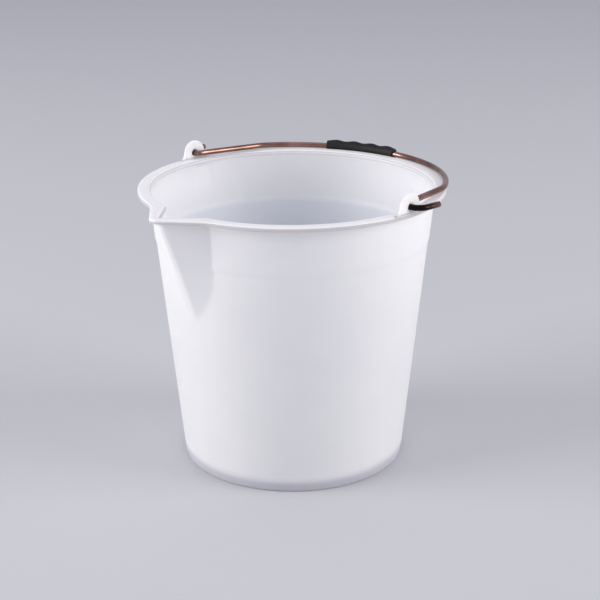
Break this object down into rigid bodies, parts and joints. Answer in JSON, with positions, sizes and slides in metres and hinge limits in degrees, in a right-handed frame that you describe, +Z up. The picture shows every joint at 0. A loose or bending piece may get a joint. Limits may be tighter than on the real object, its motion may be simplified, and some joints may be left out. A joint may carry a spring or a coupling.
{
  "type": "pouring bucket",
  "caption": "Tapered open bucket with a rolled rim, a V-shaped pouring spout, upright ears, a swinging wire bail and a plastic hand grip that slides along the wire.",
  "frame": {"origin": "on the bucket's axis, in the plane of the foot ring it stands on", "axes": "+Z up, out of the mouth; +X along the bail's pivots, which sit 2.6 mm behind the axis; the spout points to -Y and the folded bail lies to +Y"},
  "size_m": [0.34, 0.3493, 0.306],
  "materials": {
    "bucket_body": "milky natural polyethylene, satin, slightly translucent",
    "bail_wire": "drawn steel wire, thin copper-brown coating",
    "grip": "moulded matt black"
  },
  "bodies": {
    "bucket": {"bucket_body": "bucket_body"},
    "bail": {"bail_wire": "bail_wire"},
    "hand_grip": {"grip": "grip"}
  },
  "joints": [
    {"name": "bail_swing", "type": "hinge", "parent": "bucket", "child": "bail", "pos_m": [0, 0.0026, 0.2927], "axis": [1, 0, 0], "range_deg": [0, 180]},
    {"name": "grip_slide", "type": "hinge", "parent": "bail", "child": "hand_grip", "pos_m": [-0.002, 0.01357, 0.29241], "axis": [0, 0.0262, 0.9997], "range_deg": [-20, 6]}
  ]
}
